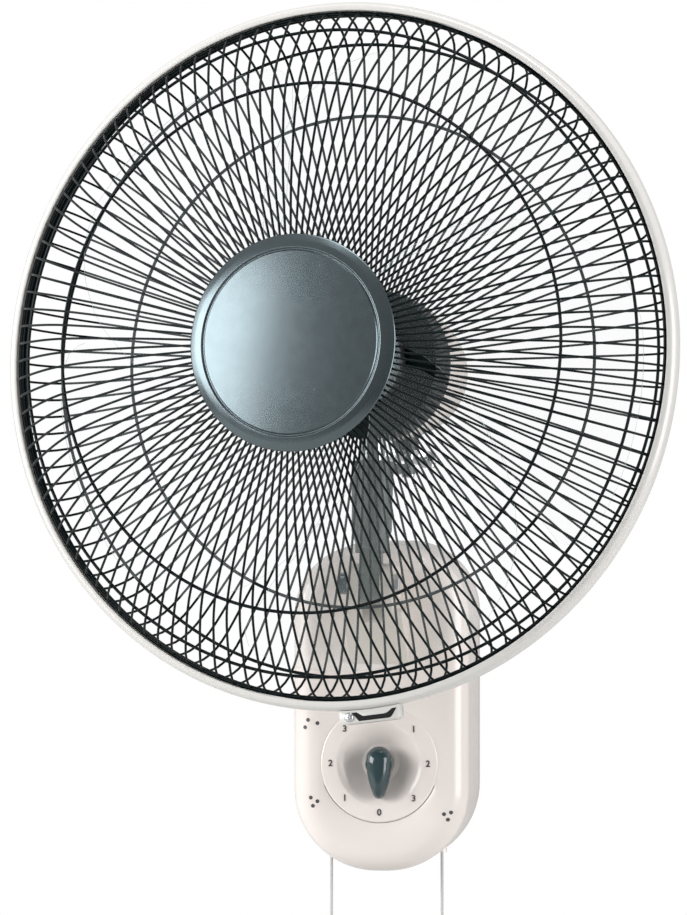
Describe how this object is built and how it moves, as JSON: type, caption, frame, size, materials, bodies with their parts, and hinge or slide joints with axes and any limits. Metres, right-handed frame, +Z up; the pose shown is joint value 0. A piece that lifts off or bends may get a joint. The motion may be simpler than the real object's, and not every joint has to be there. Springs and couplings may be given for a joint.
{
  "type": "wall mounted fan",
  "caption": "Oscillating wall fan with a wire guard, clear blades, a tilting neck, a rotary speed dial and two pull cords.",
  "frame": {"origin": "middle of the wall plate's back face, which lies on the wall", "axes": "+Z up along the wall, +Y into the wall, -Y towards the room, +X to the right as seen from the room"},
  "size_m": [0.4386, 0.2828, 0.685],
  "materials": {
    "housing": "glossy off-white moulding",
    "cap": "satin metallic blue-grey",
    "knob": "dark blue-green moulding",
    "wire": "near-black powder coat on steel wire",
    "neck_plastic": "grey-green moulding",
    "motor_plastic": "dark moulding",
    "steel": "plated",
    "blades": "clear moulded plastic with a slight blue-green tint",
    "cord": "fine braided cord",
    "copper": "enamelled wire",
    "bush": "sintered bronze",
    "black_plastic": "moulded"
  },
  "bodies": {
    "base": {"wall_plate": "steel", "base_back_cover": "housing", "base_front_shell": "housing", "base_screw_left": "steel", "base_screw_right": "steel", "dial_plate": "housing", "rotary_switch": "black_plastic", "switch_nut": "steel", "speed_pull_switch": "black_plastic", "speed_cord_bush": "housing", "swing_pull_switch": "black_plastic", "swing_cord_bush": "housing", "terminal_block": "housing", "capacitor": "black_plastic", "neck_socket": "housing", "tilt_bolt": "steel", "tilt_nut": "knob"},
    "dial_knob": {"speed_knob": "knob", "switch_shaft": "steel"},
    "speed_pull": {"speed_pull_slider": "cord", "speed_pull_cord": "cord", "speed_pull_bell": "housing"},
    "swing_pull": {"swing_pull_slider": "cord", "swing_pull_cord": "cord", "swing_pull_bell": "housing"},
    "neck": {"neck_post": "neck_plastic", "swing_pivot_pin": "steel", "link_post": "steel"},
    "head": {"motor_front_cover": "motor_plastic", "motor_rear_cover": "housing", "motor_frame": "steel", "rear_bracket": "steel", "front_bearing": "bush", "rear_bearing": "bush", "stator_core": "steel", "stator_winding_front": "copper", "stator_winding_rear": "copper", "gearbox": "black_plastic", "rear_guard": "wire", "rear_guard_hoop_inner": "wire", "rear_guard_hoop_outer": "wire", "guard_nut": "black_plastic", "trim_ring": "housing", "front_guard": "wire", "front_guard_hoop_inner": "wire", "front_guard_hoop_outer": "wire", "front_cap": "cap", "rim_clip": "housing", "rim_screw": "steel"},
    "rotor": {"rotor_core": "steel", "motor_shaft": "steel", "blade_set": "blades", "blade_spinner": "black_plastic"},
    "crank": {"crank_disc": "steel"},
    "link": {"swing_link": "steel"}
  },
  "joints": [
    {"name": "dial_turn", "type": "hinge", "parent": "base", "child": "dial_knob", "pos_m": [0, -0.088, -0.04], "axis": [0, -1, 0], "range_deg": [-135, 135]},
    {"name": "speed_pull_travel", "type": "slide", "parent": "base", "child": "speed_pull", "axis": [0, 0, -1], "range_m": [0, 0.008], "stiffness_N_per_m": 300},
    {"name": "swing_pull_travel", "type": "slide", "parent": "base", "child": "swing_pull", "axis": [0, 0, -1], "range_m": [0, 0.008], "stiffness_N_per_m": 300},
    {"name": "neck_tilt", "type": "hinge", "parent": "base", "child": "neck", "pos_m": [0, -0.136, 0.078], "axis": [1, 0, 0], "range_deg": [0, 35]},
    {"name": "head_swing", "type": "hinge", "parent": "neck", "child": "head", "pos_m": [0, -0.12625, 0.1574], "axis": [0, 0.1219, 0.9925], "range_deg": [-26, 54]},
    {"name": "blade_spin", "type": "hinge", "parent": "head", "child": "rotor", "pos_m": [-0.01331, -0.17191, 0.22346], "axis": [-0.2419, -0.9631, 0.1182], "continuous": true},
    {"name": "crank_turn", "type": "hinge", "parent": "head", "child": "crank", "pos_m": [0.015, -0.06557, 0.15801], "axis": [0, 0.1219, 0.9925], "range_deg": [-82, 40]},
    {"name": "link_turn", "type": "hinge", "parent": "crank", "child": "link", "pos_m": [0.02894, -0.06004, 0.15129], "axis": [0, 0.1219, 0.9925], "range_deg": [-42.5, 87.5]}
  ],
  "couplings": [
    {"joint": "crank_turn", "follows": "head_swing", "ratio": -1.5},
    {"joint": "link_turn", "follows": "head_swing", "ratio": 1.6}
  ]
}
